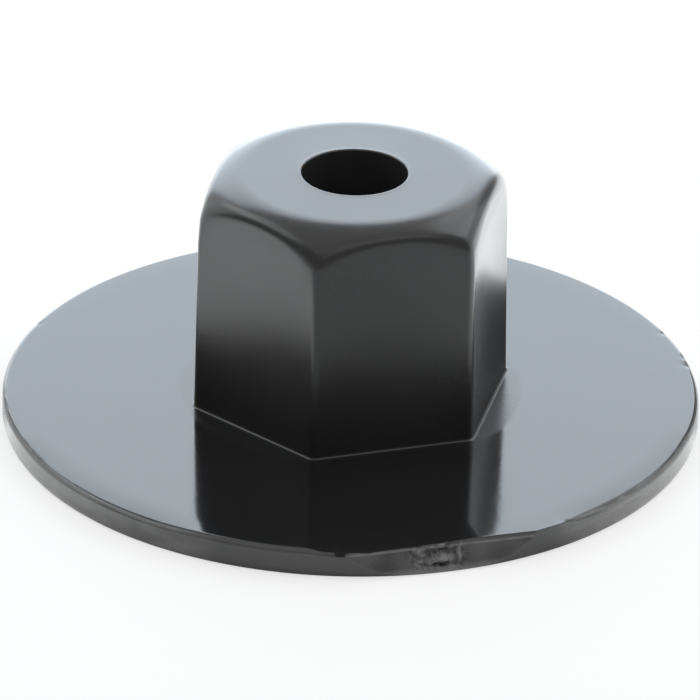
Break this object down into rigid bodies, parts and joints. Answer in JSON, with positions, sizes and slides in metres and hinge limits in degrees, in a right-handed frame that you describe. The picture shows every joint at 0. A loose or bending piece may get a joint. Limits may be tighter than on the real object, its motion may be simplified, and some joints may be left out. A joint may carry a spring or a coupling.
{
  "type": "flange nut",
  "caption": "Moulded black plastic flange nut: a drafted hexagon with a rounded shoulder on a wide thin washer, threaded right through for a coarse-thread stud.",
  "frame": {"origin": "on the axis of the stud hole, at the underside of the flange", "axes": "+Z along the hole, from the flange to the top of the hexagon; the trimmed gate flat on the rim faces -Y; hexagon corners on +X and -X"},
  "size_m": [0.0244, 0.0244, 0.0094],
  "materials": {
    "black_plastic": "smooth, glossy as moulded"
  },
  "bodies": {
    "root": {"flange_nut": "black_plastic"}
  },
  "joints": []
}
